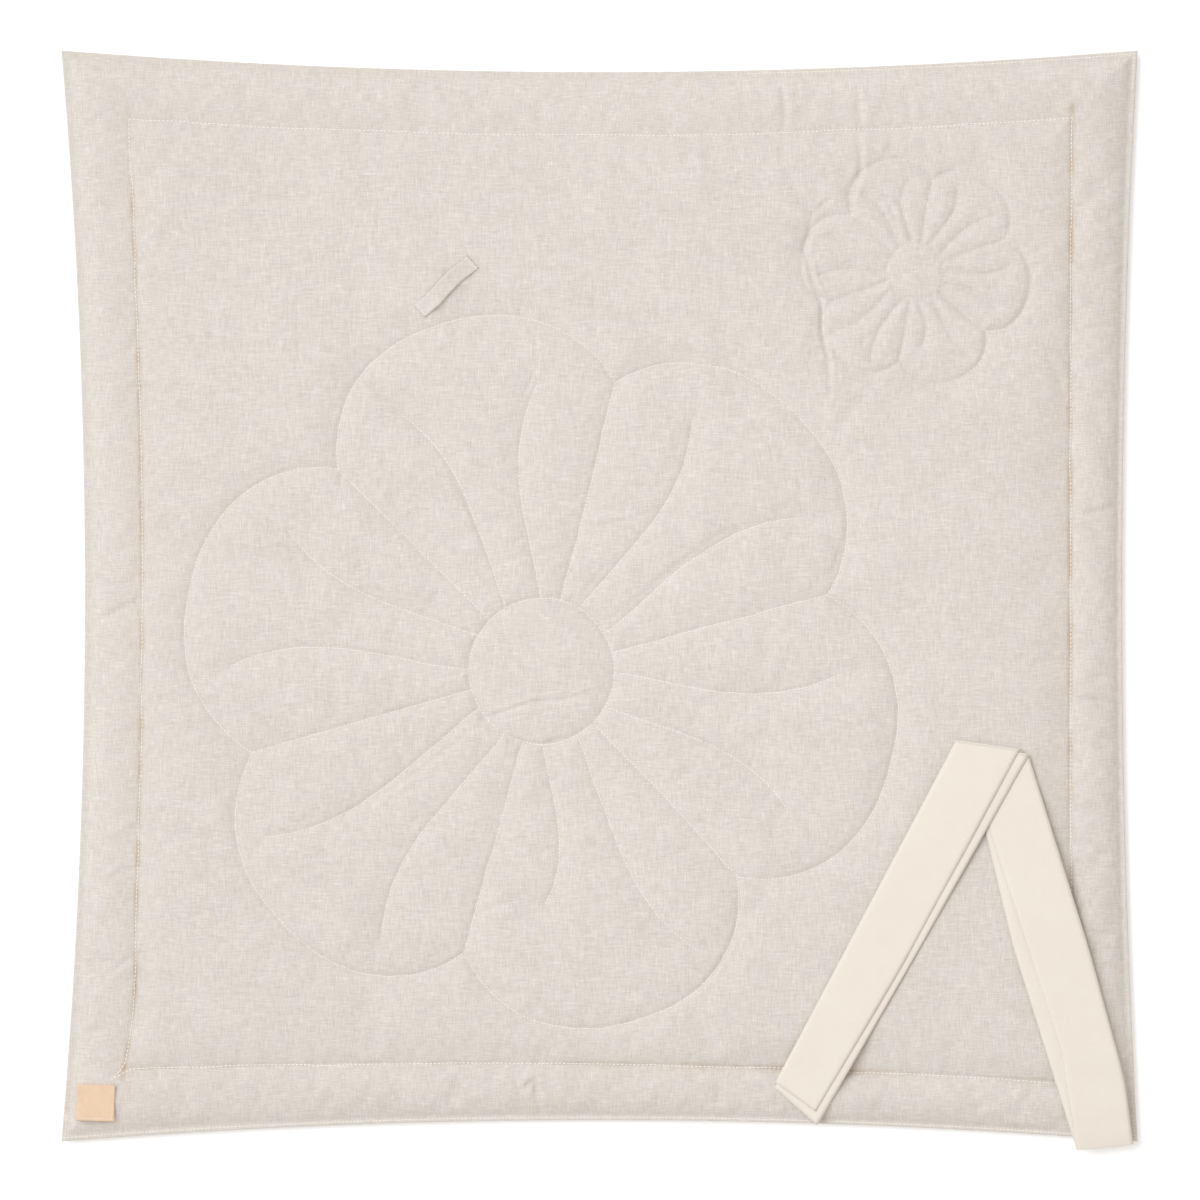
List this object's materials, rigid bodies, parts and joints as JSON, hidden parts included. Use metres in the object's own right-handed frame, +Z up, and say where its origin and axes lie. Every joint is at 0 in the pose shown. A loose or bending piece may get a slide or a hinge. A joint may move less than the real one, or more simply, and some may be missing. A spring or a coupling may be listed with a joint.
{
  "type": "floor cushion",
  "caption": "Square quilted linen floor cushion with a stitched border, a large and a small stitched flower, a strap loop, a blank leather label and a folded cotton tie strap.",
  "frame": {"origin": "centre of the cushion's flat underside, midway between its corners both ways, on the floor", "axes": "+Z up through the thickness, +X to the side of the tie strap, +Y to the far side with the small flower and the strap loop"},
  "size_m": [1.1, 1.1229, 0.0352],
  "materials": {
    "linen": "matte",
    "linen_backing": "matte",
    "wadding": "matte",
    "thread": "satin",
    "leather": "satin",
    "cotton": "matte"
  },
  "bodies": {
    "cushion": {"back_cover": "linen_backing", "big_flower_divider_1_thread": "thread", "big_flower_divider_2_thread": "thread", "big_flower_divider_3_thread": "thread", "big_flower_divider_4_thread": "thread", "big_flower_divider_5_thread": "thread", "big_flower_divider_6_thread": "thread", "big_flower_eye_thread": "thread", "big_flower_petals_thread": "thread", "big_flower_vein_1_left_thread": "thread", "big_flower_vein_1_right_thread": "thread", "big_flower_vein_2_left_thread": "thread", "big_flower_vein_2_right_thread": "thread", "big_flower_vein_3_left_thread": "thread", "big_flower_vein_3_right_thread": "thread", "big_flower_vein_4_left_thread": "thread", "big_flower_vein_4_right_thread": "thread", "big_flower_vein_5_left_thread": "thread", "big_flower_vein_5_right_thread": "thread", "big_flower_vein_6_left_thread": "thread", "big_flower_vein_6_right_thread": "thread", "border_stitch_thread": "thread", "edge_seam_thread": "thread", "edge_topstitch_thread": "thread", "front_cover": "linen", "label_stitch_thread": "thread", "leather_label": "leather", "loop_tack_1_thread": "thread", "loop_tack_2_thread": "thread", "lower_wadding": "wadding", "small_flower_divider_1_thread": "thread", "small_flower_divider_2_thread": "thread", "small_flower_divider_3_thread": "thread", "small_flower_divider_4_thread": "thread", "small_flower_divider_5_thread": "thread", "small_flower_divider_6_thread": "thread", "small_flower_eye_thread": "thread", "small_flower_petals_thread": "thread", "small_flower_vein_1_left_thread": "thread", "small_flower_vein_1_right_thread": "thread", "small_flower_vein_2_left_thread": "thread", "small_flower_vein_2_right_thread": "thread", "small_flower_vein_3_left_thread": "thread", "small_flower_vein_3_right_thread": "thread", "small_flower_vein_4_left_thread": "thread", "small_flower_vein_4_right_thread": "thread", "small_flower_vein_5_left_thread": "thread", "small_flower_vein_5_right_thread": "thread", "small_flower_vein_6_left_thread": "thread", "small_flower_vein_6_right_thread": "thread", "strap_loop": "linen", "upper_wadding": "wadding"},
    "strap_lower": {"strap_lower_leg": "cotton"},
    "strap_upper": {"strap_upper_leg": "cotton"}
  },
  "joints": [
    {"name": "strap_lift", "type": "slide", "parent": "cushion", "child": "strap_lower", "axis": [0, 0, 1], "range_m": [0, 0.12]},
    {"name": "strap_unfold", "type": "hinge", "parent": "strap_lower", "child": "strap_upper", "pos_m": [0.40151, -0.15499, 0.03055], "axis": [-0.9822, 0.188, 0], "range_deg": [0, 180]}
  ]
}
